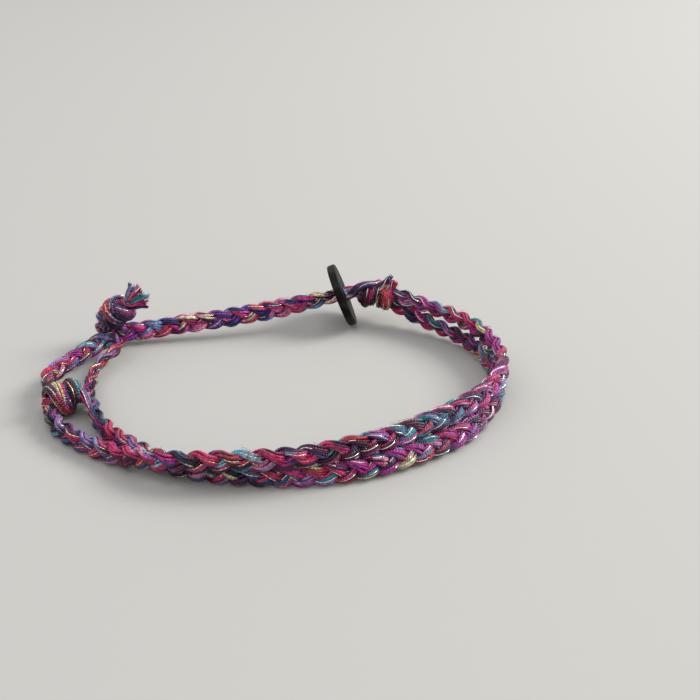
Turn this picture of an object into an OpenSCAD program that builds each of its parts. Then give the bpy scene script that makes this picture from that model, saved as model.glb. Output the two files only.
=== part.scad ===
// A closed cord bracelet lying on a surface. One long flat braid of three thread bundles
// leaves the join knot twice, runs round the right side and the front as a pair of braids,
// is tied at the loop knot, and turns round as an end loop. A single braid runs from the
// join knot through the button along the rear to the back of the end loop's fold, and is
// stopped by the stopper knot with its trimmed thread ends.

/* [Braid] */
// how far a bundle swings to each side of the middle line of a braid
swing_side = 1.2; // [1.18:0.01:1.22]
// how far a bundle swings through the thickness of a braid
swing_deep = 0.8; // [0.79:0.005:0.82]
// width of one bundle of threads
bundle_wide = 1.35; // [1.3:0.01:1.36]
// thickness of one bundle of threads
bundle_deep = 0.86; // [0.8:0.01:0.88]
// length of braid in which a bundle comes back to the same side
turn_length = 9.75; // [9.7:0.01:9.8]

/* [Button] */
// diameter of the button
button_across = 12.2; // [12:0.05:12.4]
// thickness of the button
button_thick = 1.55; // [1.4:0.05:1.6]
// diameter of the cord hole in the button
hole_across = 3.1; // [3:0.05:3.3]

/* [Knots] */
// width of the flattened cord that forms a knot
knot_wide = 2.9; // [2.8:0.05:3]
// thickness of the flattened cord that forms a knot
knot_deep = 1.9; // [1.85:0.01:1.95]

/* [Hidden] */

// sides of a bundle, and the places in one turn where it is measured
SIDES = 6;
PLACES = [30, 60, 90, 120, 150, 210, 240, 270, 300, 330];

// route rows: x, y, z, inward lean of the flat side in degrees, size factor
OVER = [
    [21.6, 24, 6.6, 0, 0.82],
    [23.6, 23, 6.2, 10, 0.88],
    [27.5, 20.8, 5.8, 20, 0.9],
    [31.9, 17.1, 5.7, 15, 0.92],
    [35.3, 13, 5.6, 5, 0.95],
    [37.5, 8.4, 5.35, -5, 0.98],
    [38.6, 3, 5.15, -5, 1],
    [38, -2, 5.15, 10, 1],
    [35.4, -7.1, 5.15, 30, 1],
    [31.4, -11.5, 5.1, 35, 1.02],
    [26.2, -15.9, 5.1, 35, 1.03],
    [20.1, -20, 5.1, 33, 1.03],
    [14, -23, 5.1, 20, 1.02],
    [7.9, -25.2, 5.15, 8, 1],
    [2, -26.5, 5.15, 0, 1],
    [-4, -26.9, 5.1, 0, 1],
    [-9.5, -26.8, 4.85, 0, 1],
    [-13, -26.3, 4.5, 0, 1],
    [-16.5, -25.2, 4, 0, 1],
    [-20, -23.3, 3.1, 0, 1],
    [-23.4, -21.2, 2.1, 0, 1],
    [-27.2, -18.9, 1.76, 5, 1],
    [-31.3, -16.1, 1.73, 5, 1],
    [-34.5, -13.1, 1.73, 5, 1],
    [-36.1, -10.9, 1.83, 5, 0.95]];
UNDER = [
    [21.5, 24.7, 4.1, 0, 0.82],
    [23.6, 23.4, 3.4, 5, 0.88],
    [26.9, 21.2, 2.6, 15, 0.92],
    [30.5, 18.4, 2.15, 20, 0.9],
    [33.8, 15.1, 1.9, 10, 0.92],
    [36.2, 11.2, 1.8, 0, 0.93],
    [37.7, 6.1, 1.78, 0, 0.96],
    [38.2, 1, 1.78, 0, 1],
    [37.2, -4.2, 1.78, 5, 1],
    [34.3, -9.6, 1.88, 15, 1],
    [31, -14.5, 2, 25, 1.06],
    [26.2, -18.3, 2.08, 30, 1.08],
    [20, -21.9, 2.08, 28, 1.08],
    [13.8, -24.5, 1.95, 18, 1.05],
    [7.8, -25.8, 1.8, 5, 1],
    [2, -26.2, 1.78, 0, 1],
    [-4, -25.9, 1.78, 0, 1],
    [-9.5, -25, 1.78, 0, 1],
    [-13.5, -23.8, 1.78, 0, 1],
    [-17.2, -21.9, 1.78, 0, 1],
    [-20.4, -19.7, 1.78, 0, 1],
    [-23.6, -17.2, 1.78, 5, 0.98],
    [-26.2, -14.4, 1.8, 5, 0.95],
    [-28.6, -11.2, 1.9, 0, 0.92],
    [-29.9, -8, 2, 0, 0.9],
    [-31, -5.6, 2.1, 0, 0.88]];
LOOP = [
    [-38.1, -3.9, 3.3, 0, 0.88],
    [-39.1, -1.2, 2.9, -5, 1],
    [-39.35, 1.8, 2.6, -10, 0.95],
    [-38, 5.3, 2.4, -35, 0.9],
    [-36.2, 8.2, 2.4, -50, 0.94],
    [-34.3, 11.3, 2.6, -45, 1],
    [-32.5, 13.1, 2.9, -35, 0.92],
    [-30.6, 13, 3.1, -25, 0.87],
    [-29.5, 11.2, 3, -20, 0.85],
    [-30.2, 9.3, 2.7, -25, 0.8],
    [-31.5, 7.2, 2.3, -28, 0.76],
    [-32.2, 5, 2.1, -30, 0.75],
    [-32.5, 2.6, 2, -30, 0.75],
    [-32.4, 0, 2, -25, 0.8],
    [-31.9, -2.8, 2.1, -10, 0.85]];
REAR = [
    [-33.4, 17.1, 3.3, -15, 0.85],
    [-32.4, 17.4, 2.6, -20, 0.95],
    [-30.8, 17.5, 2.3, -25, 1.02],
    [-28.7, 17.4, 2.3, -25, 1.06],
    [-26.6, 17.8, 2.4, -25, 1.06],
    [-23.4, 18.4, 2.6, -20, 1.04],
    [-19.6, 18.9, 3.05, -15, 1.02],
    [-12, 20, 3.7, -10, 1.03],
    [-6.3, 21.1, 4.2, -5, 1.04],
    [-1, 22.3, 4.7, 0, 1.03],
    [4.5, 23.9, 5.3, 0, 0.94],
    [8.4, 24.9, 5.75, 0, 0.78],
    [10.8, 25.4, 6.1, 0, 0.72],
    [13.1, 25.9, 6.4, 0, 0.75]];

// one point between b and c of the smooth line through a, b, c, d
function between(a, b, c, d, u) = 0.5 * (2 * b + (c - a) * u
    + (2 * a - 5 * b + 4 * c - d) * u * u + (3 * b - a - 3 * c + d) * u * u * u);
function smooth_rows(r, parts = 6) = let (n = len(r)) [
    for (i = [0:n - 2]) let (
        a = i == 0 ? 2 * r[0] - r[1] : r[i - 1],
        d = i == n - 2 ? 2 * r[n - 1] - r[n - 2] : r[i + 2])
        for (k = [0:parts - 1]) between(a, r[i], r[i + 1], d, k / parts),
    r[n - 1]];
function place(row) = [row[0], row[1], row[2]];
function unit(v) = v / norm(v);
// running lengths along a line of rows
function running(r, i = 0, sum = 0, out = []) = i == len(r) ? out
    : running(r, i + 1, i + 1 < len(r) ? sum + norm(place(r[i + 1]) - place(r[i])) : sum,
              concat(out, [sum]));
function columns(r, s) = [for (c = [0:len(r[0]) - 1]) [for (i = [0:len(r) - 1]) [s[i], r[i][c]]]];
function at(cols, s) = [for (c = cols) lookup(s, c)];

// middle point, width direction and depth direction of a braid at length s
function frame_at(cols, s) = let (
    row = at(cols, s),
    t = unit(place(at(cols, s + 0.5)) - place(at(cols, s - 0.5))),
    r = unit(cross(t, [0, 0, 1])),
    up = cross(r, t),
    w = cos(row[3]) * up + sin(row[3]) * r)
    [place(row), w, cross(w, t), row[4]];
// middle point of a bundle that has reached the angle a of its swing at length s
function bundle_at(cols, s, a) = let (f = frame_at(cols, s))
    f[0] + f[3] * (swing_side * sin(a) * f[1] + swing_deep * sin(2 * a) * f[2]);
function bundle_ring(cols, s, shift, total, fill) = let (
    a = 360 * s / turn_length + shift,
    f = frame_at(cols, s),
    lo = max(0, s - 0.2),
    hi = min(total, s + 0.2),
    t = unit(bundle_at(cols, hi, 360 * hi / turn_length + shift)
             - bundle_at(cols, lo, 360 * lo / turn_length + shift)),
    m = unit(swing_side * cos(a) * f[1] + 0.4 * swing_deep * cos(2 * a) * f[2]),
    u = unit(m - (m * t) * t),
    v = cross(t, u),
    c = bundle_at(cols, s, a))
    [for (k = [0:SIDES - 1]) let (g = 360 * k / SIDES)
        c + fill * f[3] * (bundle_wide / 2 * cos(g) * u + bundle_deep / 2 * 1.1 * sin(g) * v)];
// lengths along the braid where a bundle is measured
function stops(total, shift) = let (
    inner = [for (n = [-1:ceil(total / turn_length) + 1]) for (p = PLACES)
             let (s = turn_length * (n + (p - shift) / 360)) if (s > 0.45 && s < total - 0.45) s])
    concat([0], inner, [total]);

module skin(rings) {
    n = len(rings[0]);
    last = len(rings) - 1;
    polyhedron(
        points = [for (r = rings) each r],
        faces = concat(
            [[for (k = [0:n - 1]) k]],
            [for (i = [0:last - 1]) for (k = [0:n - 1]) let (m = (k + 1) % n)
                each [[i * n + k, (i + 1) * n + k, (i + 1) * n + m],
                      [i * n + k, (i + 1) * n + m, i * n + m]]],
            [[for (k = [n - 1:-1:0]) last * n + k]]),
        convexity = 8);
}

// the whole bracelet moved so that the origin is under the middle of its outline
module centred() {
    translate([0.4, -1.76, 0]) children();
}
// one bundle of a braid that follows the rows of a route
module bundle(route, shift, fill = 1) {
    rows = smooth_rows(route);
    s = running(rows);
    total = s[len(s) - 1];
    cols = columns(rows, s);
    centred() skin([for (p = stops(total, shift)) bundle_ring(cols, p, shift, total, fill)]);
}

// rows of a knot: place along the axis, distance from it, angle round it, size factor
KNOT = [
    [-3, 0.3, 0, 0.88],
    [-1, 0.9, 0, 0.88],
    [1.2, 1.1, 10, 0.92],
    [2.2, 1.7, 60, 0.97],
    [2.2, 2.05, 120, 1],
    [1.9, 2.05, 180, 1],
    [1.4, 2.05, 240, 1],
    [0.9, 2.05, 300, 1],
    [0.4, 2.05, 360, 1],
    [-0.1, 2.05, 420, 1],
    [-0.6, 2.05, 480, 1],
    [-1.2, 2.05, 540, 1],
    [-1.8, 1.95, 600, 1],
    [-2.1, 1.6, 660, 0.95],
    [-0.6, 0.9, 710, 0.9],
    [1.4, 0.6, 730, 0.88],
    [3.2, 0.2, 730, 0.88]];
function knot_point(row, long, round, hand) = [
    row[0] * long, round * row[1] * cos(row[2]), hand * round * row[1] * sin(row[2])];
function knot_ring(rows, i, long, round, hand) = let (
    n = len(rows) - 1,
    c = knot_point(rows[i], long, round, hand),
    t = unit(knot_point(rows[min(n, i + 1)], long, round, hand)
             - knot_point(rows[max(0, i - 1)], long, round, hand)),
    out = unit([0.001, cos(rows[i][2]), hand * sin(rows[i][2])]),
    u = unit(cross(out, t)),
    v = cross(t, u))
    [for (k = [0:7]) let (g = 45 * k + 22.5)
        c + rows[i][3] * 1.04 * (knot_wide / 2 * cos(g) * u + knot_deep / 2 * sin(g) * v)];
module joined(a, b) {
    n = len(a);
    hull() polyhedron(points = concat(a, b),
                      faces = [[for (k = [0:n - 1]) k], [for (k = [0:n - 1]) n + k]]);
}
// an overhand knot along the x axis, wound to the right for hand 1 and to the left for hand -1
module overhand(long, round, hand) {
    rows = smooth_rows(KNOT, 2);
    for (i = [0:len(rows) - 2]) {
        joined(knot_ring(rows, i, long, round, hand), knot_ring(rows, i + 1, long, round, hand));
    }
}
// a tapered lock of threads from one point to another
module lock(from, to, wide, tip) {
    d = to - from;
    translate(from) rotate([0, acos(d[2] / norm(d)), atan2(d[1], d[0])])
        cylinder(d1 = wide, d2 = tip, h = norm(d), $fn = 6);
}
// a round cord through a list of points
module cord(points, wide) {
    for (i = [0:len(points) - 2]) {
        hull() {
            translate(points[i]) sphere(d = wide, $fn = 8);
            translate(points[i + 1]) sphere(d = wide, $fn = 8);
        }
    }
}

module over_one() color("#a03a7a") bundle(OVER, 0);
module over_two() color("#3f6f8f") bundle(OVER, 120);
module over_three() color("#6a3a86") bundle(OVER, 240);
module under_one() color("#a03a7a") bundle(UNDER, 40);
module under_two() color("#3f6f8f") bundle(UNDER, 160);
module under_three() color("#6a3a86") bundle(UNDER, 280);
module loop_one() color("#a03a7a") bundle(LOOP, 20, 0.92);
module loop_two() color("#3f6f8f") bundle(LOOP, 140, 0.92);
module loop_three() color("#6a3a86") bundle(LOOP, 260, 0.92);
module rear_one() color("#a03a7a") bundle(REAR, 10, 0.93);
module rear_two() color("#3f6f8f") bundle(REAR, 130, 0.93);
module rear_three() color("#6a3a86") bundle(REAR, 250, 0.93);

module loop_knot() color("#7a3a78") centred() {
    translate([-35.6, -6.7, 3.05]) rotate([0, -4, 20]) rotate([200, 0, 0]) overhand(0.95, 0.98, -1);
    cord([[-32.8, -5.4, 2.4], [-31.9, -4.2, 2.2]], 2.1);
}
module join_knot() color("#7a3a78") centred() {
    translate([17.2, 26.1, 5.9]) rotate([0, 3, -14]) rotate([60, 0, 0]) overhand(1.14, 0.93, 1);
    cord([[14.4, 25.4, 7.7], [15.9, 25.2, 8.3], [17.6, 25.2, 8.1], [19.2, 25.3, 8.5]], 1.6);
    lock([18.9, 25.3, 8.2], [20.3, 25.3, 9.7], 1.8, 1.4);
    lock([18.9, 25.2, 6.6], [21, 25.2, 8.9], 1.8, 1.3);
}
// the cord comes up behind the fold of the end loop and is tied off above it
module stopper_knot() color("#7a3a78") centred() {
    translate([-30.6, 15.5, 7.3]) rotate([0, -42, -15]) rotate([150, 0, 0]) overhand(1, 0.93, 1);
    cord([[-32.7, 15.9, 5.8], [-33.2, 16.4, 4.9]], 1.8);
}
// thread ends that fan out from one head
module thread_ends() color("#8a4f9a") centred() {
    head = [-27.1, 14.6, 10.6];
    lock([-28, 14.7, 9.7], head + [0.2, 0, 0.1], 2.2, 2.2);
    lock(head, [-26.9, 14.6, 13.4], 0.9, 0.5);
    lock(head, [-25.5, 14.6, 13], 0.9, 0.5);
    lock(head, [-24.9, 14.6, 12.1], 0.9, 0.5);
    lock(head, [-24.1, 14.6, 10.9], 0.9, 0.5);
    lock(head, [-24.4, 14.6, 9.4], 0.9, 0.5);
}
module button() color("#232323") centred() {
    translate([10.9, 25.4, 6.02]) rotate([0, 69.5, 6]) difference() {
        cylinder(d = button_across, h = button_thick, center = true, $fn = 64);
        cylinder(d = hole_across, h = button_thick + 2, center = true, $fn = 32);
    }
}

over_one();
over_two();
over_three();
under_one();
under_two();
under_three();
loop_one();
loop_two();
loop_three();
rear_one();
rear_two();
rear_three();
loop_knot();
join_knot();
stopper_knot();
thread_ends();
button();
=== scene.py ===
"""Looks of a closed cord bracelet that lies on a pale surface.

Every braid is spun from its real make-up: three bundles of dyed shiny threads with fine metal
filaments between them, laid along the same routes as the solid bundles of the part.
Lengths in the tables are millimetres in the tables' own frame, and SHIFT moves them to the
frame of the part.
"""

import math

import bpy
import numpy as np
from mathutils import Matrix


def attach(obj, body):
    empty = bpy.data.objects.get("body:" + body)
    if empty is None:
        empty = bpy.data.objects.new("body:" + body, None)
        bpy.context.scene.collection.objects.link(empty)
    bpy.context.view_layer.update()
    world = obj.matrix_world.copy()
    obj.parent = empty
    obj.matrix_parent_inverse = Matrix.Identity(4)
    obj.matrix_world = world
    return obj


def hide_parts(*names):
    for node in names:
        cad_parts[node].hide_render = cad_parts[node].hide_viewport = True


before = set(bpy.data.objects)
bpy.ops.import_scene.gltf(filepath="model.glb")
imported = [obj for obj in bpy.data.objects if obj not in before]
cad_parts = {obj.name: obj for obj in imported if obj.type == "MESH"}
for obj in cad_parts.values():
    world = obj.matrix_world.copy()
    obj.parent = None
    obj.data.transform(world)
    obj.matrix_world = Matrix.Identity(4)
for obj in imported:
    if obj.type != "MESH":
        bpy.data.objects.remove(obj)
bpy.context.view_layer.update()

MM = 0.001
SHIFT = np.array([0.4, -1.76, 0.0])

# the swing of a bundle inside a braid: to each side, through the braid's thickness, and how
# much further the tips of its turns reach than a plain wave
SWING_SIDE = 1.05
SWING_DEEP = 0.55
EDGE_SHARP = 0.03
# the length of braid in which a bundle comes back to the same side
TURN_LENGTH = 9.75
# how much less a bundle swings where its braid is pulled tight, and the length of the change
TIGHT = 0.35
TIGHT_LENGTH = 3.0

# a bundle of threads: its oval section where it crosses the braid, its diameter where it turns
# back at the edge, and the length in which its threads roll once round it
BUNDLE_WIDE = 2.15
BUNDLE_DEEP = 1.15
BUNDLE_ROUND = 1.4
BUNDLE_ROLL = 30.0

# the threads in a bundle, and how far their dyes lie out of step along them
THREADS = 9
THREAD_RADIUS = 0.22
CORE_RADIUS = 0.28
FILAMENT_RADIUS = 0.085
THREAD_LAG = 1.6
# how many points sooner or later a thread takes a new picked dye than its neighbours
DYE_STAGGER = 5.0

# stray fibres: the length of bundle that has one, their thickness, and how far they stand off
FIBRE_GAP = 0.8
FIBRE_RADIUS = 0.025
FIBRE_LIFT = 0.35
FIBRE_POINTS = 6

# the step between points along a thread, and the sides that its swept section has
POINT_STEP = 0.3
THREAD_SIDES = 8
FILAMENT_SIDES = 4
# lines thinner than this are swept with the few sides of a filament
FINE_LINE = 0.12

# a knot: how far its three bundles swing as they twist round each other, the length of one
# twist, their section, the threads in each, and the length in which those roll once round
KNOT_SIDE = 0.72
KNOT_DEEP = 0.38
KNOT_TWIST = 24.0
KNOT_BUNDLE_WIDE = 1.7
KNOT_BUNDLE_DEEP = 1.3
KNOT_THREADS = 10
KNOT_ROLL = 26.0

# the round bundles that leave a knot: their threads, and the length in which those roll once round
CORD_THREAD_RADIUS = 0.19
CORD_ROLL = 14.0


# Camera and light

# place in metres, tilt up from straight down in degrees, lens and sensor in millimetres
CAMERA_PLACE = (0.01286, -0.1482, 0.093)
CAMERA_TILT = 60.0
LENS = 51.43
SENSOR = 36.0


def place_camera():
    """Puts the camera at the photograph's height, distance and tilt."""
    data = bpy.data.cameras.new("camera")
    data.sensor_width = SENSOR
    data.lens = LENS
    data.clip_start = 0.005
    data.clip_end = 20.0
    camera = bpy.data.objects.new("camera", data)
    camera.location = CAMERA_PLACE
    camera.rotation_euler = (math.radians(CAMERA_TILT), 0.0, 0.0)
    bpy.context.scene.collection.objects.link(camera)
    bpy.context.scene.camera = camera


def soft_light(name, place, size, power, colour):
    """Adds a square area light at a place, turned to the middle of the bracelet."""
    data = bpy.data.lights.new(name, "AREA")
    data.shape = "SQUARE"
    data.size = size
    data.energy = power
    data.color = colour
    lamp = bpy.data.objects.new(name, data)
    lamp.location = place
    x, y, z = place
    lamp.rotation_euler = (math.atan2(math.hypot(x, y), z), 0.0, math.atan2(-y, -x) - math.pi / 2)
    bpy.context.scene.collection.objects.link(lamp)


def light_the_room():
    """Gives the soft daylight of a room with its window on the right."""
    world = bpy.data.worlds.new("room")
    world.use_nodes = True
    sky = world.node_tree.nodes["Background"]
    sky.inputs["Color"].default_value = (0.86, 0.86, 0.88, 1.0)
    sky.inputs["Strength"].default_value = 1.12
    bpy.context.scene.world = world
    soft_light("window", place=(0.75, 0.20, 0.62), size=0.45, power=12.0, colour=(1.0, 0.98, 0.95))
    soft_light("ceiling", place=(-0.05, 0.12, 0.95), size=1.9, power=7.5, colour=(0.93, 0.96, 1.0))
    bpy.context.scene.view_settings.view_transform = "Standard"


# Node trees

class Wire:
    """A node's output that plain sums and products can be written with."""

    def __init__(self, graph, socket):
        self.graph = graph
        self.socket = socket

    def beside(self, name):
        """Another output of the same node."""
        return Wire(self.graph, self.socket.node.outputs[name])

    def worked(self, operation, *values):
        """The result of one Math node."""
        return self.graph.node("ShaderNodeMath", {"operation": operation}, dict(enumerate(values)))

    def __add__(self, other):
        return self.worked("ADD", self, other)

    def __radd__(self, other):
        return self.worked("ADD", other, self)

    def __sub__(self, other):
        return self.worked("SUBTRACT", self, other)

    def __rsub__(self, other):
        return self.worked("SUBTRACT", other, self)

    def __mul__(self, other):
        return self.worked("MULTIPLY", self, other)

    def __rmul__(self, other):
        return self.worked("MULTIPLY", other, self)

    def __truediv__(self, other):
        return self.worked("DIVIDE", self, other)

    def floor(self):
        return self.worked("FLOOR", self)

    def fraction(self):
        return self.worked("FRACT", self)

    def sine(self):
        return self.worked("SINE", self)

    def cosine(self):
        return self.worked("COSINE", self)

    def above(self, limit):
        return self.worked("GREATER_THAN", self, limit)


class Graph:
    """Adds nodes to a tree: the settings first, then the values or links of the sockets."""

    def __init__(self, tree):
        self.tree = tree

    def node(self, kind, settings=None, sockets=None, out=0):
        """Adds a node and gives one of its outputs."""
        made = self.tree.nodes.new(kind)
        for name, value in (settings or {}).items():
            if name == "stops":
                self.fill_ramp(made.color_ramp, value)
            else:
                setattr(made, name, value)
        for key, value in (sockets or {}).items():
            if isinstance(value, Wire):
                self.tree.links.new(value.socket, made.inputs[key])
            else:
                made.inputs[key].default_value = value
        return Wire(self, made.outputs[out]) if len(made.outputs) else None

    def fill_ramp(self, ramp, stops):
        """Gives a ramp its stops, each of which holds up to the next."""
        while len(ramp.elements) > 1:
            ramp.elements.remove(ramp.elements[0])
        ramp.interpolation = "CONSTANT"
        for number, (place, tone) in enumerate(stops):
            stop = ramp.elements[0] if number == 0 else ramp.elements.new(place)
            stop.position = place
            stop.color = tone

    def kept(self, name, out=2):
        """What the mesh keeps under a name: a number, or a vector with out at 1."""
        return self.node("ShaderNodeAttribute", {"attribute_name": name}, out=out)

    def place(self):
        """Where a point of the piece is, in metres."""
        return self.node("ShaderNodeTexCoord").beside("Object")

    def noise(self, place, scale, detail):
        """A soft noise in space."""
        return self.node("ShaderNodeTexNoise", None, {"Vector": place, "Scale": scale, "Detail": detail})

    def mixed(self, share, first, second, way="MIX"):
        """Two colours mixed by a share, or by another way of mixing."""
        return self.node("ShaderNodeMix", {"data_type": "RGBA", "blend_type": way},
                         {0: share, 6: first, 7: second}, out=2)

    def ranged(self, value, low, high, start=0.0, end=1.0, ease="SMOOTHSTEP"):
        """A value taken from one range to another with soft ends."""
        return self.node("ShaderNodeMapRange", {"interpolation_type": ease},
                         {0: value, 1: low, 2: high, 3: start, 4: end})


def dye(code, gilt=0.0):
    """A colour code as linear numbers; the last number tells dyed thread, 1, from gilt, 0."""
    parts = [int(code[i:i + 2], 16) / 255 for i in (0, 2, 4)]
    linear = [p / 12.92 if p <= 0.04045 else ((p + 0.055) / 1.055) ** 2.4 for p in parts]
    return (*linear, 1.0 - gilt)


def new_finish(name):
    """An empty material and the graph that its nodes are added to."""
    material = bpy.data.materials.new(name)
    material.use_nodes = True
    material.node_tree.nodes.clear()
    return material, Graph(material.node_tree)


def show(graph, sockets):
    """Ends a finish with one shader that has the given values and links."""
    shader = graph.node("ShaderNodeBsdfPrincipled", None, sockets)
    graph.node("ShaderNodeOutputMaterial", None, {"Surface": shader})


# Finishes

DYES = [
    (0.00, dye("cc2664")),
    (0.13, dye("5c1230")),
    (0.23, dye("c43c7c")),
    (0.30, dye("44164c")),
    (0.40, dye("180a24")),
    (0.48, dye("12123a")),
    (0.53, dye("3c5684")),
    (0.57, dye("26848e")),
    (0.61, dye("7cb8cc")),
    (0.65, dye("9474b2")),
    (0.70, dye("ac2890")),
    (0.81, dye("b42c42")),
    (0.88, dye("dcd09c", 0.35)),
    (0.91, dye("8690b4")),
    (0.94, dye("dc86ac")),
    (0.97, dye("54427e")),
]
# brighter, pinker dyes for the rear braid: partly the yarn's own colour and partly painted light for the
# light that falls on that braid
REAR_DYES_WITH_PAINTED_LIGHT = [
    (0.00, dye("e43ca4")),
    (0.18, dye("9c1e58")),
    (0.27, dye("20246c")),
    (0.38, dye("5c96d4")),
    (0.46, dye("7438a0")),
    (0.55, dye("f4deb8", 0.3)),
    (0.64, dye("e468a8")),
    (0.78, dye("380e44")),
    (0.88, dye("d03464")),
    (0.96, dye("4aa0b0")),
]

# places on the first ramp for threads whose dye is picked
CRIMSON = 0.06
WINE = 0.18
ROSE = 0.26
PLUM = 0.35
INK = 0.44
NAVY = 0.5
BLUE = 0.55
TEAL = 0.59
SKY = 0.63
LILAC = 0.67
MAGENTA = 0.75
BRICK = 0.84
GOLD = 0.89
GREY = 0.92
PINK = 0.95
INDIGO = 0.98
# the mark of a thread whose dye is left to chance, and a bundle of four yarns that all have it
BY_CHANCE = -1.0
FOUR_YARNS = (BY_CHANCE,) * 4

# three plies wind round a thread once in this length
PLY_LENGTH = 1.3
# the share of a run after which its dye starts to change to the next
DYE_HOLD = 0.8
# how far apart two lanes lie in the row of chance, for where runs start and for their dyes
LANE_START = 61.7
LANE_DYE = 17.3
# painted light from the right: the thread colour is mixed towards a pale lilac, more over a range of x and
# less over a range of y, both in metres, and by this share at most
PALE_X = (0.014, 0.034)
PALE_Y = (-0.006, 0.006)
PALE_MOST = 0.12
# the range of x, in metres, over which the filaments turn from gold to silver, a painted highlight towards
# the light on the right
PAINTED_SILVER_X = (0.0, 0.022)


def dye_in_runs(graph, seed, run, dyes):
    """The dye along a thread, in runs of chance, and how gilt it is.

    A picked place on the ramp takes over from chance where it is above 0.
    """
    lane = graph.kept("lane")
    picked = graph.kept("picked")
    fixed = picked.above(0.0)
    stretch = graph.kept("along") / run + lane * LANE_START + seed
    cell = stretch.floor() + lane * LANE_DYE
    blend = graph.ranged(stretch.fraction(), DYE_HOLD, 1.0)
    tones = []
    for number in (cell, cell + 1.0):
        chance = graph.node("ShaderNodeTexWhiteNoise", {"noise_dimensions": "1D"}, {"W": number})
        spot = chance * (1.0 - fixed) + picked * fixed
        tones.append(graph.node("ShaderNodeValToRGB", {"stops": dyes}, {0: spot}))
    here, after = tones
    gilt = 1.0 - (here.beside("Alpha") * (1.0 - blend) + after.beside("Alpha") * blend)
    return graph.mixed(blend, here, after), gilt


def wound_plies(graph):
    """How far a thread's surface stands out, where three plies wind round it.

    The way that a point faces holds the cosine and the sine of its angle round the thread.
    """
    facing = graph.node("ShaderNodeSeparateXYZ", None, {0: graph.kept("facing", out=1)})
    c = facing
    s = facing.beside("Y")
    c3 = 4.0 * (c * c * c) - 3.0 * c
    s3 = 3.0 * s - 4.0 * (s * s * s)
    wind = graph.kept("along") * (2 * math.pi * 3 / PLY_LENGTH)
    return wind.sine() * c3 + wind.cosine() * s3


def dyed_thread(name, seed, run, dyes):
    """Shiny thread of three twisted plies, dyed in runs of changing colour, with painted shade in the
    grooves between the plies and painted light that pales it towards the right front.
    """
    material, graph = new_finish(name)
    tone, gilt = dye_in_runs(graph, seed, run, dyes)
    ply = wound_plies(graph)
    # painted shade: the thread colour is darkened in the grooves between the plies, down to half
    painted_groove_shade = graph.ranged(ply, -1.0, -0.1, 1.0, 0.0)
    place = graph.place()
    east = graph.node("ShaderNodeSeparateXYZ", None, {0: place})
    # painted light: towards the right front the thread colour is mixed towards a pale lilac, where the
    # light from the right falls
    painted_light_pale = graph.ranged(east, *PALE_X) * graph.ranged(east.beside("Y"), *PALE_Y, PALE_MOST, 0.0)
    tone = graph.mixed(painted_light_pale, tone, dye("a8a4e4"))
    mottle = graph.noise(place, 1700.0, 2.0)
    shade = graph.ranged(mottle, 0.3, 0.7, 0.3, 1.0, "LINEAR")
    # the random mottle times the painted shade of the ply grooves
    deep = shade * (1.0 - 0.5 * painted_groove_shade)
    grey = graph.node("ShaderNodeCombineColor", None, {0: deep, 1: deep, 2: deep})
    show(graph, {
        "Base Color": graph.mixed(1.0, tone, grey, "MULTIPLY"),
        "Metallic": gilt * 0.8,
        "Roughness": graph.ranged(mottle, 0.3, 0.7, 0.22, 0.34, "LINEAR") - 0.08 * gilt,
        "Specular IOR Level": 0.38,
        "Normal": graph.node("ShaderNodeBump", None, {"Strength": 0.8, "Distance": 0.00005, "Height": ply}),
    })
    return material


def gold_filament(name):
    """A hair-thin metal strip of pale gold with painted glints in spots along it, and a painted highlight
    that turns it silver towards the right.
    """
    material, graph = new_finish(name)
    # painted glints: the metal colour turns near white in spots along the filament, where it is also
    # glossier
    painted_glint_wave = (graph.kept("along") * 9.0).sine()
    east = graph.node("ShaderNodeSeparateXYZ", None, {0: graph.place()})
    tone = graph.mixed(graph.ranged(painted_glint_wave, -0.4, 0.9), dye("c8a860"), dye("fff2d8"))
    show(graph, {
        # painted highlight: towards the right the filament colour is mixed towards near-white silver
        "Base Color": graph.mixed(graph.ranged(east, *PAINTED_SILVER_X) * 0.7, tone, dye("f0f3f6")),
        "Metallic": 1.0,
        "Roughness": graph.ranged(painted_glint_wave, -1.0, 1.0, 0.34, 0.18),
    })
    return material


def dark_button(name):
    """Almost black stained disc with turned rings, a soft sheen and a paler worn rim."""
    material, graph = new_finish(name)
    place = graph.place()
    grain = graph.noise(place, 420.0, 5.0)
    cloud = graph.noise(place, 150.0, 2.0)
    base = graph.mixed(graph.ranged(cloud, 0.4, 0.62), dye("040505"), dye("090c0b"))
    brown = graph.mixed(graph.ranged(grain, 0.5, 0.75) * 0.5, base, dye("18120f"))
    worn = graph.mixed(graph.kept("rim") * graph.ranged(grain, 0.42, 0.7) * 0.6, brown, dye("2a2824"))
    rings = (graph.kept("radius") * 38.0).sine()
    height = graph.node("ShaderNodeBump", None, {
        "Strength": 0.25, "Distance": 0.00004, "Height": rings * 0.5 + grain})
    show(graph, {
        "Base Color": worn,
        "Roughness": graph.ranged(grain, 0.3, 0.7, 0.38, 0.55, "LINEAR"),
        "Specular IOR Level": 0.08,
        "Normal": height,
    })
    return material


def pale_surface(name):
    """The plain pale surface under the bracelet."""
    material, graph = new_finish(name)
    show(graph, {"Base Color": dye("999894"), "Roughness": 0.9, "Specular IOR Level": 0.1})
    return material


# Routes: x, y, z, inward lean of the braid's flat side in degrees, size factor

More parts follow.
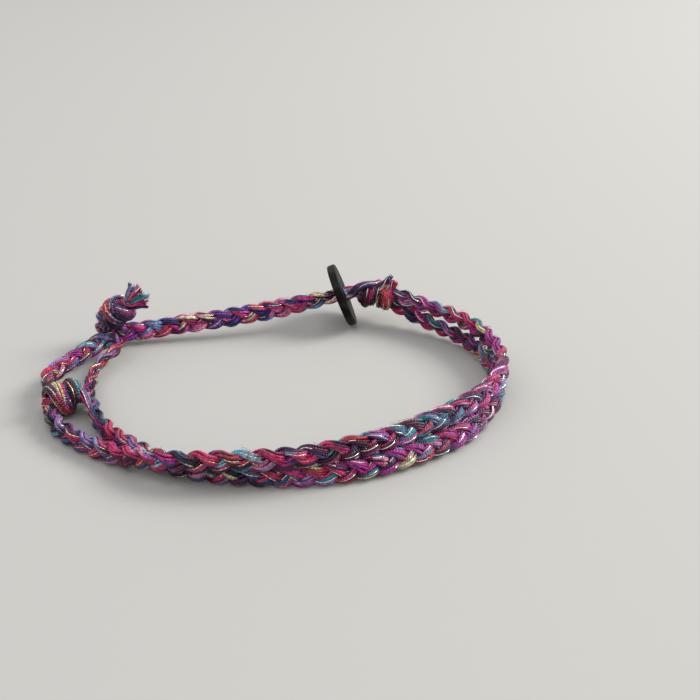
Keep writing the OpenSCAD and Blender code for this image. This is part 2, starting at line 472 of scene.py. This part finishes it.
OVER_IN = [[19.0, 25.3, 6.6, 0, 0.6]]
OVER = [
    [21.6, 24.0, 6.6, 0, 0.82],
    [23.6, 23.0, 6.2, 10, 0.88],
    [27.5, 20.8, 5.8, 20, 0.9],
    [31.9, 17.1, 5.7, 15, 0.92],
    [35.3, 13.0, 5.6, 5, 0.95],
    [37.5, 8.4, 5.35, -5, 0.98],
    [38.6, 3.0, 5.15, -5, 1],
    [38.0, -2.0, 5.15, 10, 1],
    [35.4, -7.1, 5.15, 30, 1],
    [31.4, -11.5, 5.1, 35, 1.02],
    [26.2, -15.9, 5.1, 35, 1.03],
    [20.1, -20.0, 5.1, 33, 1.03],
    [14.0, -23.0, 5.1, 20, 1.02],
    [7.9, -25.2, 5.15, 8, 1],
    [2.0, -26.5, 5.15, 0, 1],
    [-4.0, -26.9, 5.1, 0, 1],
    [-9.5, -26.8, 4.85, 0, 1],
    [-13.0, -26.3, 4.5, 0, 1],
    [-16.5, -25.2, 4.0, 0, 1],
    [-20.0, -23.3, 3.1, 0, 1],
    [-23.4, -21.2, 2.1, 0, 1],
    [-27.2, -18.9, 1.76, 5, 1],
    [-31.3, -16.1, 1.73, 5, 1],
    [-34.5, -13.1, 1.73, 5, 1],
    [-36.1, -10.9, 1.83, 5, 0.95],
]
OVER_OUT = [[-36.9, -8.9, 2.5, 5, 0.7]]
UNDER_IN = [[19.2, 25.6, 5.2, 0, 0.6]]
UNDER = [
    [21.5, 24.7, 4.1, 0, 0.82],
    [23.6, 23.4, 3.4, 5, 0.88],
    [26.9, 21.2, 2.6, 15, 0.92],
    [30.5, 18.4, 2.15, 20, 0.9],
    [33.8, 15.1, 1.9, 10, 0.92],
    [36.2, 11.2, 1.8, 0, 0.93],
    [37.7, 6.1, 1.78, 0, 0.96],
    [38.2, 1.0, 1.78, 0, 1],
    [37.2, -4.2, 1.78, 5, 1],
    [34.3, -9.6, 1.88, 15, 1],
    [31.0, -14.5, 2.0, 25, 1.06],
    [26.2, -18.3, 2.08, 30, 1.08],
    [20.0, -21.9, 2.08, 28, 1.08],
    [13.8, -24.5, 1.95, 18, 1.05],
    [7.8, -25.8, 1.8, 5, 1],
    [2.0, -26.2, 1.78, 0, 1],
    [-4.0, -25.9, 1.78, 0, 1],
    [-9.5, -25.0, 1.78, 0, 1],
    [-13.5, -23.8, 1.78, 0, 1],
    [-17.2, -21.9, 1.78, 0, 1],
    [-20.4, -19.7, 1.78, 0, 1],
    [-23.6, -17.2, 1.78, 5, 0.98],
    [-26.2, -14.4, 1.8, 5, 0.95],
    [-28.6, -11.2, 1.9, 0, 0.92],
    [-29.9, -8.0, 2.0, 0, 0.9],
    [-31.0, -5.6, 2.1, 0, 0.88],
]
UNDER_OUT = [[-31.7, -3.8, 2.2, 0, 0.75]]
LOOP_IN = [[-36.9, -5.7, 3.5, 0, 0.7]]
LOOP = [
    [-38.1, -3.9, 3.3, 0, 0.88],
    [-39.1, -1.2, 2.9, -5, 1],
    [-39.35, 1.8, 2.6, -10, 0.95],
    [-38.0, 5.3, 2.4, -35, 0.9],
    [-36.2, 8.2, 2.4, -50, 0.94],
    [-34.3, 11.3, 2.6, -45, 1],
    [-32.5, 13.1, 2.9, -35, 0.92],
    [-30.6, 13.0, 3.1, -25, 0.87],
    [-29.5, 11.2, 3.0, -20, 0.85],
    [-30.2, 9.3, 2.7, -25, 0.8],
    [-31.5, 7.2, 2.3, -28, 0.76],
    [-32.2, 5.0, 2.1, -30, 0.75],
    [-32.5, 2.6, 2.0, -30, 0.75],
    [-32.4, 0.0, 2.0, -25, 0.8],
    [-31.9, -2.8, 2.1, -10, 0.85],
]
LOOP_OUT = [[-31.2, -4.5, 2.2, 0, 0.8]]
REAR_IN = [[-34.0, 16.7, 4.5, -10, 0.75]]
REAR = [
    [-33.4, 17.1, 3.3, -15, 0.85],
    [-32.4, 17.4, 2.6, -20, 0.95],
    [-30.8, 17.5, 2.3, -25, 1.02],
    [-28.7, 17.4, 2.3, -25, 1.06],
    [-26.6, 17.8, 2.4, -25, 1.06],
    [-23.4, 18.4, 2.6, -20, 1.04],
    [-19.6, 18.9, 3.05, -15, 1.02],
    [-12.0, 20.0, 3.7, -10, 1.03],
    [-6.3, 21.1, 4.2, -5, 1.04],
    [-1.0, 22.3, 4.7, 0, 1.03],
    [4.5, 23.9, 5.3, 0, 0.94],
    [8.4, 24.9, 5.75, 0, 0.78],
    [10.8, 25.4, 6.1, 0, 0.72],
    [13.1, 25.9, 6.4, 0, 0.75],
]
REAR_OUT = [[15.4, 26.2, 6.1, 0, 0.65]]

# Knot rows: place along the knot's axis, distance from it, angle round it, size factor
KNOT = [
    [-3.0, 0.3, 0, 0.88],
    [-1.0, 0.9, 0, 0.88],
    [1.2, 1.1, 10, 0.92],
    [2.2, 1.7, 60, 0.97],
    [2.2, 2.05, 120, 1],
    [1.9, 2.05, 180, 1],
    [1.4, 2.05, 240, 1],
    [0.9, 2.05, 300, 1],
    [0.4, 2.05, 360, 1],
    [-0.1, 2.05, 420, 1],
    [-0.6, 2.05, 480, 1],
    [-1.2, 2.05, 540, 1],
    [-1.8, 1.95, 600, 1],
    [-2.1, 1.6, 660, 0.95],
    [-0.6, 0.9, 710, 0.9],
    [1.4, 0.6, 730, 0.88],
    [3.2, 0.2, 730, 0.88],
]


# Lines in space: c is the middle line of a bundle, t the way that it runs, u and v the two
# directions of its section, w and d the ways across a braid and through it, s a length along it

def unit(v):
    """Vectors, one in each row, brought to length 1."""
    return v / np.maximum(np.linalg.norm(v, axis=-1, keepdims=True), 1e-9)


def across(v, t):
    """The part of v that stands square on t, at length 1."""
    return unit(v - np.sum(v * t, axis=1, keepdims=True) * t)


def smoothed(rows, parts):
    """The rows with points added on the smooth line through them."""
    rows = np.array(rows, float)
    full = np.vstack([2 * rows[0] - rows[1], rows, 2 * rows[-1] - rows[-2]])
    out = []
    for a, b, c, d in zip(full, full[1:], full[2:], full[3:]):
        for u in np.arange(parts) / parts:
            out.append(0.5 * (2 * b + (c - a) * u + (2 * a - 5 * b + 4 * c - d) * u ** 2
                              + (3 * b - a - 3 * c + d) * u ** 3))
    out.append(rows[-1])
    return np.array(out)


def running(points):
    """Length run from the first point to each point."""
    return np.concatenate([[0.0], np.cumsum(np.linalg.norm(np.diff(points, axis=0), axis=1))])


def read_at(s, run, rows):
    """The rows that run gives the lengths of, read at other lengths."""
    return np.stack([np.interp(s, run, col) for col in rows.T], axis=1)


class Route:
    """A smooth line through rows, read by its length from the first row after the lead-in."""

    def __init__(self, lead_in, rows, lead_out, parts=16):
        self.rows = smoothed(lead_in + rows + lead_out, parts)
        self.s = running(self.rows[:, :3])
        self.s = self.s - self.s[len(lead_in) * parts]
        self.start = self.s[0]
        self.end = self.s[-1]

    def at(self, s):
        return read_at(s, self.s, self.rows)

    def stations(self):
        """Even steps of length from one end to the other."""
        count = int(round((self.end - self.start) / POINT_STEP))
        return np.linspace(self.start, self.end, count + 1)


def braid_frame(route, s):
    """Middle line of a braid, the way its flat side runs, the way through it, and its size."""
    row = route.at(s)
    t = unit(route.at(s + 0.5)[:, :3] - route.at(s - 0.5)[:, :3])
    r = unit(np.cross(t, [0.0, 0.0, 1.0]))
    up = np.cross(r, t)
    lean = np.radians(row[:, 3:4])
    w = np.cos(lean) * up + np.sin(lean) * r
    return row[:, :3], w, np.cross(w, t), row[:, 4:5]


def braided(s, middle, w, d, size, shift, side):
    """One bundle of a braid: its middle line, the two directions of its section, and how flat it is."""
    a = (2 * np.pi * s / TURN_LENGTH + math.radians(shift))[:, None]
    swing = np.sin(a) - EDGE_SHARP * np.sin(3 * a)
    c = middle + size * (side * swing * w + SWING_DEEP * np.sin(2 * a) * d)
    t = unit(np.gradient(c, axis=0))
    u = across(w, t)
    return c, u, np.cross(t, u), np.cos(a[:, 0]) ** 2


def oval_table(wide, deep):
    """Points of an oval at equal steps of its outline."""
    angle = np.linspace(0, 2 * np.pi, 181)
    points = np.stack([wide * np.cos(angle), deep * np.sin(angle)], axis=1)
    s = running(points)
    return s / s[-1], points


class Spinner:
    """Collects the threads of one piece, whose stray fibres draw from a chance of their own."""

    def __init__(self, seed):
        self.chance = np.random.default_rng(seed)
        self.stray = np.random.default_rng(seed + 5000)
        self.lines = []

    def thread(self, points, radius, lane=None, gilt=0.0, lag=0.0, picked=BY_CHANCE):
        """Adds one thread along points, with its radius at each point, and no lower than the floor."""
        lane = self.chance.random() if lane is None else lane
        points = points.copy()
        points[:, 2] = np.maximum(points[:, 2], radius)
        even = np.ones(len(points))
        self.lines.append({"points": points, "thick": radius * even, "along": running(points) + lag,
                           "lane": lane * even, "gilt": gilt * even, "picked": picked * even})

    def bundle(self, c, u, v, size, wide=BUNDLE_WIDE, deep=BUNDLE_DEEP, count=THREADS,
               radius=THREAD_RADIUS, roll=BUNDLE_ROLL, flat=None, picks=FOUR_YARNS):
        """Adds the threads of one bundle, which roll slowly round its oval section.

        The threads belong to a few yarns, side by side, and those of one yarn share its dye.
        Where flat is 1 the section is the oval, and where it is 0 it is round.
        """
        run = running(c)
        size = np.broadcast_to(np.asarray(size, float).reshape(-1), len(c))
        share, oval = oval_table(wide / 2 - radius, deep / 2 - radius)
        flat = np.ones(len(c)) if flat is None else flat
        even = BUNDLE_ROUND / 2 - radius
        broad = flat + (1 - flat) * even / (wide / 2 - radius)
        stout = flat + (1 - flat) * even / (deep / 2 - radius)
        start = self.chance.random()
        way = 1.0 if self.chance.random() < 0.5 else -1.0
        lanes = self.chance.random(len(picks))
        picks = [np.broadcast_to(pick, len(c)) for pick in picks]

        def laid(place, proud):
            """The line of the thread at a place in the bundle, which may stand proud of the others."""
            turn = (start + place / count + way * run / roll) % 1.0
            x = np.interp(turn, share, oval[:, 0])
            y = np.interp(turn, share, oval[:, 1])
            far = 1.0 + proud / np.maximum(np.hypot(x * broad, y * stout), 0.1)
            return c + (far * x * size * broad)[:, None] * u + (far * y * size * stout)[:, None] * v

        def wavy(length):
            """A wave along the bundle that starts anywhere."""
            return np.sin(run / length + 6.28 * self.chance.random())

        for k in range(count):
            drift = 0.3 * wavy(2.3)
            swell = 1.0 + 0.05 * wavy(0.9)
            yarn = int(len(picks) * k / count)
            dyed_at = np.arange(len(c)) - int(DYE_STAGGER * math.sin(2.4 * k))
            dyed_at = np.clip(dyed_at, 0, len(c) - 1)
            self.thread(laid(k + drift, 0.0), radius * size * swell, lanes[yarn],
                        lag=THREAD_LAG * self.chance.random(), picked=picks[yarn][dyed_at])
            # a filament lies beside every third thread and dips under here and there
            if k % 3 == 1:
                proud = 0.12 - 0.3 * (wavy(1.5) < -0.2)
                self.thread(laid(k + 0.5 + drift, proud), FILAMENT_RADIUS, gilt=1.0)
        self.thread(c, CORE_RADIUS * size, lanes[0], picked=picks[0])
        self.stray_fibres(c, ((wide / 2 - radius) * broad + radius) * size, u,
                          ((deep / 2 - radius) * stout + radius) * size, v, lanes, picks)

    def stray_fibres(self, c, half_wide, u, half_deep, v, lanes, picks):
        """Adds fine fibres that start on the oval section of a bundle and stand off along it."""
        for _ in range(int(running(c)[-1] / FIBRE_GAP)):
            yarn = self.stray.integers(0, len(picks))
            stride = self.stray.integers(1, 3)
            first = self.stray.integers(0, max(1, len(c) - FIBRE_POINTS * stride))
            at = np.minimum(first + stride * np.arange(FIBRE_POINTS), len(c) - 1)
            if len(np.unique(at)) < FIBRE_POINTS:
                continue
            reach = np.linspace(0.0, 1.0, FIBRE_POINTS)
            angle = 2 * np.pi * self.stray.random() + self.stray.normal(0, 0.7) * reach
            lift = self.stray.uniform(0.1, FIBRE_LIFT) * reach ** 1.5
            x = (half_wide[at] + lift) * np.cos(angle)
            y = (half_deep[at] + lift) * np.sin(angle)
            fibre = c[at] + x[:, None] * u[at] + y[:, None] * v[at]
            self.thread(fibre, FIBRE_RADIUS, lanes[yarn], picked=picks[yarn][at])

    def outlines(self):
        """The threads as one mesh of edges, with what the sweep and the finish read."""
        points = np.vstack([line["points"] for line in self.lines]) + SHIFT
        values = {key: np.concatenate([line[key] for line in self.lines])
                  for key in ("thick", "along", "lane", "gilt", "picked")}
        values["thick"] *= MM
        number = np.arange(len(points))
        last = np.cumsum([len(line["points"]) for line in self.lines]) - 1
        first = np.setdiff1d(number, last)
        return points * MM, np.stack([first, first + 1], axis=1), values


def sweep_tree():
    """Sweeps a round section along every line and keeps where each point faces."""
    tree = bpy.data.node_groups.new("swept_threads", "GeometryNodeTree")
    for name, kind in (("Lines", "NodeSocketGeometry"), ("Thread Sides", "NodeSocketInt"),
                       ("Filament Sides", "NodeSocketInt"), ("Thread Finish", "NodeSocketMaterial"),
                       ("Filament Finish", "NodeSocketMaterial")):
        tree.interface.new_socket(name, in_out="INPUT", socket_type=kind)
    tree.interface.new_socket("Threads", in_out="OUTPUT", socket_type="NodeSocketGeometry")
    graph = Graph(tree)
    given = graph.node("NodeGroupInput")
    thick = graph.node("GeometryNodeInputNamedAttribute", {"data_type": "FLOAT"}, {"Name": "thick"})
    gilt = graph.node("GeometryNodeInputNamedAttribute", {"data_type": "FLOAT"}, {"Name": "gilt"})
    facing = graph.node("GeometryNodeInputPosition")
    threads = graph.node("GeometryNodeSeparateGeometry", {"domain": "POINT"},
                         {"Geometry": given, "Selection": thick.above(FINE_LINE * MM)})
    swept = []
    for lines, kind in ((threads, "Thread"), (threads.beside("Inverted"), "Filament")):
        lines = graph.node("GeometryNodeMeshToCurve", None, {0: lines})
        ring = graph.node("GeometryNodeCurvePrimitiveCircle", {"mode": "RADIUS"},
                          {"Resolution": given.beside(f"{kind} Sides"), "Radius": 1.0})
        ring = graph.node("GeometryNodeStoreNamedAttribute",
                          {"data_type": "FLOAT_VECTOR", "domain": "POINT"},
                          {"Geometry": ring, "Name": "facing", "Value": facing})
        swept.append(graph.node("GeometryNodeCurveToMesh", None, {
            "Curve": lines, "Profile Curve": ring, "Scale": thick, "Fill Caps": True}))
    joined = graph.node("GeometryNodeJoinGeometry")
    for body in swept:
        tree.links.new(body.socket, joined.socket.node.inputs[0])
    joined = graph.node("GeometryNodeSetShadeSmooth", None, {"Geometry": joined, "Shade Smooth": True})
    joined = graph.node("GeometryNodeRealizeInstances", None, {0: joined})
    joined = graph.node("GeometryNodeSetMaterial", None,
                        {"Geometry": joined, "Material": given.beside("Thread Finish")})
    joined = graph.node("GeometryNodeSetMaterial", None,
                        {"Geometry": joined, "Selection": gilt.above(0.5),
                         "Material": given.beside("Filament Finish")})
    graph.node("NodeGroupOutput", None, {0: joined})
    return tree


def plain_mesh(name, points, edges, faces=()):
    """A new object in the scene from points, edges and faces."""
    mesh = bpy.data.meshes.new(name)
    mesh.from_pydata([tuple(p) for p in points], [tuple(e) for e in edges], [tuple(f) for f in faces])
    piece = bpy.data.objects.new(name, mesh)
    bpy.context.scene.collection.objects.link(piece)
    return piece


def set_values(mesh, name, values):
    """Keeps one number at each point of a mesh."""
    layer = mesh.attributes.new(name, "FLOAT", "POINT")
    layer.data.foreach_set("value", np.asarray(values, np.float32))


def spun_piece(name, spinner, thread_finish, node):
    """Sweeps the spinner's threads and gives the piece the place of a solid of the part."""
    points, edges, values = spinner.outlines()
    piece = plain_mesh(name, points, edges)
    for key, numbers in values.items():
        set_values(piece.data, key, numbers)
    sweep = piece.modifiers.new("sweep", "NODES")
    sweep.node_group = SWEEP
    sockets = {s.name: s.identifier for s in SWEEP.interface.items_tree if s.in_out == "INPUT"}
    sweep[sockets["Thread Sides"]] = THREAD_SIDES
    sweep[sockets["Filament Sides"]] = FILAMENT_SIDES
    sweep[sockets["Thread Finish"]] = thread_finish
    sweep[sockets["Filament Finish"]] = FILAMENT
    view = bpy.context.evaluated_depsgraph_get()
    swept = bpy.data.meshes.new_from_object(piece.evaluated_get(view), depsgraph=view)
    piece.modifiers.remove(sweep)
    piece.data = swept
    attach(piece, "root")
    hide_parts(node)
    return piece


# Braids

def braid_pieces(braid, route, start, fill, seed, yarns, tight_from=None):
    """The three bundles of one braid, a third of a turn apart from a starting angle.

    Fill is the size of the bundles in the braid, and past tight_from the braid is pulled tight.
    """
    s = route.stations()
    middle, w, d, size = braid_frame(route, s)
    side = np.full((len(s), 1), SWING_SIDE)
    if tight_from is not None:
        side[:, 0] -= TIGHT * np.clip((s - tight_from) / TIGHT_LENGTH, 0.0, 1.0)
    for number, count in enumerate(("one", "two", "three")):
        spinner = Spinner(seed + number)
        c, u, v, flat = braided(s, middle, w, d, size, start + 120 * number, side)
        spinner.bundle(c, u, v, size * fill, flat=flat)
        spun_piece(f"{braid}_threads_{count}", spinner, yarns[number], f"{braid}_{count}")


# Knots

def turned(x, y, z):
    """The turn about x, then y, then z, in degrees."""
    a, b, c = (math.radians(v) for v in (x, y, z))
    about_x = np.array([[1, 0, 0], [0, math.cos(a), -math.sin(a)], [0, math.sin(a), math.cos(a)]])
    about_y = np.array([[math.cos(b), 0, math.sin(b)], [0, 1, 0], [-math.sin(b), 0, math.cos(b)]])
    about_z = np.array([[math.cos(c), -math.sin(c), 0], [math.sin(c), math.cos(c), 0], [0, 0, 1]])
    return about_z @ about_y @ about_x


def knotted(spinner, place, turn, long, plump, hand, picks):
    """Lays three fat bundles, twisted slowly together, along the windings of an overhand knot.

    It is wound to the right for hand 1 and to the left for hand -1, and long and plump stretch it
    along its axis and across. Each row of picks has a share of the windings, and from there on the
    dyes of the three bundles and of the third yarn in each.
    """
    rows = smoothed(KNOT, parts=14)
    angle = np.radians(rows[:, 2])
    out = np.stack([0 * angle, np.cos(angle), hand * np.sin(angle)], axis=1)
    line = plump * rows[:, 1:2] * out
    line[:, 0] = long * rows[:, 0]
    run = running(line)
    s = np.linspace(0, run[-1], int(run[-1] / POINT_STEP))
    line = read_at(s, run, line)
    out = unit(read_at(s, run, out))
    size = np.interp(s, run, rows[:, 3])[:, None]
    t = unit(np.gradient(line, axis=0))
    w = unit(np.cross(out, t))
    d = np.cross(t, w)
    stage = np.searchsorted([row[0] for row in picks], s / s[-1], side="right") - 1
    tones = np.array([row[1:] for row in picks])[stage]
    for number, shift in enumerate((0, 120, 240)):
        a = (2 * np.pi * s / KNOT_TWIST + math.radians(shift))[:, None]
        c = line + size * (KNOT_SIDE * np.sin(a) * w + KNOT_DEEP * np.cos(a) * d)
        t = unit(np.gradient(c, axis=0))
        u = across(w, t)
        v = np.cross(t, u)
        spinner.bundle(c @ turn.T + place, u @ turn.T, v @ turn.T, size, wide=KNOT_BUNDLE_WIDE,
                       deep=KNOT_BUNDLE_DEEP, count=KNOT_THREADS, roll=KNOT_ROLL,
                       picks=(tones[:, number], tones[:, number], tones[:, 3]))


def loose_cord(spinner, points, wide, count, picks, spread=1.0):
    """Lays a round bundle of threads through a few points, as it leaves a knot."""
    rows = smoothed(points, parts=8)
    run = running(rows)
    s = np.linspace(0, run[-1], max(6, int(run[-1] / POINT_STEP)))
    c = read_at(s, run, rows)
    t = unit(np.gradient(c, axis=0))
    u = across(np.tile([0.31, 0.87, 0.38], (len(c), 1)), t)
    v = np.cross(t, u)
    size = np.linspace(1.0, spread, len(c))
    spinner.bundle(c, u, v, size, wide=wide, deep=wide, count=count, radius=CORD_THREAD_RADIUS,
                   roll=CORD_ROLL, picks=picks)


def loop_knot():
    """The knot round the foot of the end loop, two cords to the inner braid, and a short end."""
    spinner = Spinner(401)
    turn = turned(0, -4, 20) @ turned(200, 0, 0)
    picks = [[0.0, BRICK, CRIMSON, WINE, GOLD],
             [0.14, PLUM, INDIGO, INK, TEAL],
             [0.21, INDIGO, PLUM, WINE, TEAL],
             [0.44, INDIGO, BRICK, CRIMSON, GOLD],
             [0.56, CRIMSON, PLUM, INDIGO, GOLD],
             [0.7, WINE, BRICK, INK, INK],
             [0.9, TEAL, BLUE, PLUM, TEAL]]
    knotted(spinner, np.array([-35.6, -6.7, 3.05]), turn, long=0.95, plump=0.98, hand=-1, picks=picks)
    upper_cord = [[-34.2, -5.6, 4.4], [-32.9, -5.9, 4.1], [-31.4, -6.8, 3.3], [-29.9, -8.3, 2.4]]
    lower_cord = [[-33.2, -5.9, 2.6], [-32.0, -4.8, 2.3], [-31.7, -3.4, 2.2]]
    short_end = [[-31.8, -3.6, 2.6], [-31.0, -2.9, 3.2], [-30.6, -2.4, 3.9]]
    loose_cord(spinner, upper_cord, wide=1.7, count=9, picks=(TEAL, LILAC, CRIMSON))
    loose_cord(spinner, lower_cord, wide=2.0, count=9, picks=(CRIMSON, PLUM, TEAL))
    loose_cord(spinner, short_end, wide=0.9, count=4, picks=(PLUM, INK, INDIGO))
    spun_piece("loop_knot_threads", spinner, MIXED_YARN, "loop_knot")


def join_knot():
    """The knot that joins the braids, with a cord laid over it and three trimmed ends."""
    spinner = Spinner(402)
    turn = turned(0, 3, -14) @ turned(60, 0, 0)
    picks = [[0.0, TEAL, NAVY, WINE, TEAL],
             [0.12, CRIMSON, WINE, BRICK, GOLD],
             [0.4, PLUM, INK, WINE, CRIMSON],
             [0.54, WINE, CRIMSON, WINE, INK],
             [0.61, INK, INK, PLUM, WINE],
             [0.85, NAVY, WINE, BLUE, INK]]
    knotted(spinner, np.array([17.2, 26.1, 5.9]), turn, long=1.14, plump=0.93, hand=1, picks=picks)
    hump = [[12.9, 25.7, 6.4], [14.1, 25.4, 7.6], [15.9, 25.2, 8.2], [17.6, 25.2, 8.0],
            [19.2, 25.3, 8.5], [20.1, 25.3, 9.4]]
    red_end = [[18.9, 25.2, 6.4], [20.3, 25.1, 7.5], [21.1, 25.2, 9.0]]
    gold_end = [[17.1, 24.9, 6.8], [18.5, 24.5, 7.5], [19.9, 24.8, 8.5]]
    teal_end = [[18.7, 25.6, 8.2], [19.9, 25.6, 9.3], [20.3, 25.6, 10.0]]
    loose_cord(spinner, hump, wide=1.7, count=9, picks=(INDIGO, PLUM, MAGENTA), spread=0.9)
    loose_cord(spinner, red_end, wide=1.4, count=7, picks=(CRIMSON, MAGENTA, BRICK))
    loose_cord(spinner, gold_end, wide=1.0, count=5, picks=(GOLD, GOLD, BRICK))
    loose_cord(spinner, teal_end, wide=1.0, count=5, picks=(TEAL, BLUE, TEAL))
    spun_piece("join_knot_threads", spinner, MIXED_YARN, "join_knot")


def stopper_knot():
    """The knot on its neck that stops the rear braid."""
    spinner = Spinner(403)
    turn = turned(0, -42, -15) @ turned(150, 0, 0)
    picks = [[0.0, BRICK, CRIMSON, WINE, CRIMSON],
             [0.05, INDIGO, INDIGO, NAVY, WINE],
             [0.19, MAGENTA, LILAC, PLUM, LILAC],
             [0.35, PLUM, CRIMSON, NAVY, GREY],
             [0.42, NAVY, BRICK, LILAC, INDIGO],
             [0.52, WINE, INDIGO, CRIMSON, NAVY],
             [0.6, INK, PLUM, WINE, NAVY],
             [0.79, CRIMSON, ROSE, INDIGO, LILAC]]
    knotted(spinner, np.array([-30.6, 15.5, 7.3]), turn, long=1.0, plump=0.93, hand=1, picks=picks)
    neck = [[-32.8, 15.8, 6.0], [-33.3, 16.5, 4.7], [-33.3, 17.2, 3.3]]
    loose_cord(spinner, neck, wide=2.0, count=9, picks=(GREY, LILAC, INDIGO))
    spun_piece("stopper_knot_threads", spinner, MIXED_YARN, "stopper_knot")


def thread_ends():
    """A brush of cut threads that fans out of the stopper knot, with a few loose fibres."""
    spinner = Spinner(404)
    chance = spinner.chance
    foot = np.array([-28.6, 14.8, 9.6])
    tips = [[-26.8, 14.6, 13.7], [-26.2, 14.4, 13.1], [-25.4, 14.6, 13.2], [-25.2, 14.9, 12.4],
            [-24.8, 14.4, 12.0], [-24.0, 14.6, 11.3], [-24.3, 14.9, 10.6], [-24.8, 14.4, 10.0],
            [-24.2, 14.6, 9.3]]
    tones = [GREY, LILAC, PINK, CRIMSON, TEAL, SKY, CRIMSON, MAGENTA, PLUM]
    head_low = np.array([-26.7, 14.6, 8.9])
    head_high = np.array([-27.6, 14.6, 11.9])
    threads_in_lock = 4
    apart = 0.22
    for number, (tip, tone) in enumerate(zip(tips, tones)):
        near = head_high + (head_low - head_high) * number / (len(tips) - 1)
        for _ in range(threads_in_lock):
            end = np.array(tip) + chance.normal(0, apart, 3)
            middle = near + chance.normal(0, apart, 3)
            root = foot + 0.45 * (near - foot) + chance.normal(0, apart, 3)
            rows = smoothed([root, middle, 0.5 * (middle + end), end], parts=5)
            rows[6:] += np.sin(np.linspace(0, 5, len(rows) - 6))[:, None] * chance.normal(0, 0.07, 3)
            spinner.thread(rows, np.linspace(0.22, 0.17, len(rows)), picked=tone)
            for _ in range(2):
                fibre = rows[9:].copy()
                reach = np.linspace(0, 1, len(fibre))[:, None] ** 2
                fibre += reach * chance.normal(0, 0.28, 3)
                spinner.thread(fibre, np.linspace(0.05, 0.03, len(fibre)), picked=tone)
    spun_piece("cut_thread_ends", spinner, MIXED_YARN, "thread_ends")


# Button

BUTTON_PLACE = np.array([10.9, 25.4, 6.02])
BUTTON_TILT = 69.5
BUTTON_HEADING = 6
BUTTON_RADIUS = 6.1
BUTTON_HALF_THICK = 0.775
HOLE_RADIUS = 1.55
HOLE_CHAMFER = 0.16
RIM_ROUND = 0.34
# the dish of a face: how deep it is, the ring where it starts, how broad it is, and how far
# inside it the turned points lie
DISH_DEEP = 0.08
DISH_START = 2.0
DISH_BROAD = 3.2
DISH_INSIDE = 0.2
# the rings beyond and within which the disc is worn pale
WORN_OUTSIDE = 5.7
WORN_INSIDE = 1.7
STEPS_AROUND = 96


def button_profile():
    """Half the section of the disc, as distances from its axis and heights, from the hole round."""
    lip = HOLE_RADIUS + HOLE_CHAMFER
    dish = [(r, BUTTON_HALF_THICK - DISH_DEEP * math.sin((r - DISH_START) / DISH_BROAD * math.pi))
            for r in np.linspace(DISH_START + DISH_INSIDE, DISH_START + DISH_BROAD - DISH_INSIDE, 9)]
    rim = []
    for angle in np.linspace(-90, 90, 15):
        a = math.radians(angle)
        lift = BUTTON_HALF_THICK - RIM_ROUND if angle > 0 else RIM_ROUND - BUTTON_HALF_THICK
        rim.append((BUTTON_RADIUS - RIM_ROUND + RIM_ROUND * math.cos(a), lift + RIM_ROUND * math.sin(a)))
    return ([(HOLE_RADIUS, HOLE_CHAMFER - BUTTON_HALF_THICK), (lip, -BUTTON_HALF_THICK)]
            + [(r, -z) for r, z in dish]
            + rim
            + dish[::-1]
            + [(lip, BUTTON_HALF_THICK), (HOLE_RADIUS, BUTTON_HALF_THICK - HOLE_CHAMFER)])


def button():
    """Turns the disc: flat faces with a shallow dish, a rounded rim and a drilled hole."""
    profile = button_profile()
    turn = turned(0, BUTTON_TILT, BUTTON_HEADING)
    points = []
    for g in 2 * math.pi * np.arange(STEPS_AROUND) / STEPS_AROUND:
        for r, z in profile:
            points.append(turn @ np.array([r * math.cos(g), r * math.sin(g), z]) + BUTTON_PLACE + SHIFT)
    n = len(profile)
    faces = []
    for k in range(STEPS_AROUND):
        m = (k + 1) % STEPS_AROUND
        for i in range(n):
            j = (i + 1) % n
            faces.append((k * n + i, m * n + i, m * n + j, k * n + j))
    piece = plain_mesh("turned_button", np.array(points) * MM, [], faces)
    mesh = piece.data
    radii = [r for r, z in profile] * STEPS_AROUND
    set_values(mesh, "radius", radii)
    set_values(mesh, "rim", [1.0 if r > WORN_OUTSIDE or r < WORN_INSIDE else 0.0 for r in radii])
    mesh.polygons.foreach_set("use_smooth", [True] * len(mesh.polygons))
    mesh.materials.append(dark_button("stained_disc"))
    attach(piece, "root")
    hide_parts("button")


def floor():
    """The surface that the bracelet lies on, wide enough to fill every view."""
    side = 8.0
    corners = [(-side, -side, 0), (side, -side, 0), (side, side, 0), (-side, side, 0)]
    ground = plain_mesh("floor", corners, [], [(0, 1, 2, 3)])
    ground.data.materials.append(pale_surface("pale_surface"))


place_camera()
light_the_room()
floor()
BRIGHT_YARN = dyed_thread("dyed_thread_bright", seed=132.4, run=6.5, dyes=DYES)
COOL_YARN = dyed_thread("dyed_thread_cool", seed=101.9, run=6.0, dyes=DYES)
DEEP_YARN = dyed_thread("dyed_thread_deep", seed=77.7, run=7.0, dyes=DYES)
MIXED_YARN = dyed_thread("dyed_thread_mixed", seed=37.1, run=6.0, dyes=DYES)
# the rear yarn's brighter dyes hold painted light as well as its own colour
REAR_YARN = dyed_thread("dyed_thread_rear_painted_light", seed=140.6, run=4.5, dyes=REAR_DYES_WITH_PAINTED_LIGHT)
FILAMENT = gold_filament("gold_filament")
SWEEP = sweep_tree()
MAIN_YARNS = [BRIGHT_YARN, COOL_YARN, DEEP_YARN]
REAR_YARNS = [REAR_YARN, REAR_YARN, REAR_YARN]
braid_pieces("over", Route(OVER_IN, OVER, OVER_OUT), start=0, fill=1.0, seed=101, yarns=MAIN_YARNS)
braid_pieces("under", Route(UNDER_IN, UNDER, UNDER_OUT), start=40, fill=1.0, seed=111, yarns=MAIN_YARNS)
braid_pieces("loop", Route(LOOP_IN, LOOP, LOOP_OUT), start=20, fill=0.95, seed=121, yarns=MAIN_YARNS,
             tight_from=19.0)
braid_pieces("rear", Route(REAR_IN, REAR, REAR_OUT), start=10, fill=0.98, seed=131, yarns=REAR_YARNS)
loop_knot()
join_knot()
stopper_knot()
thread_ends()
button()
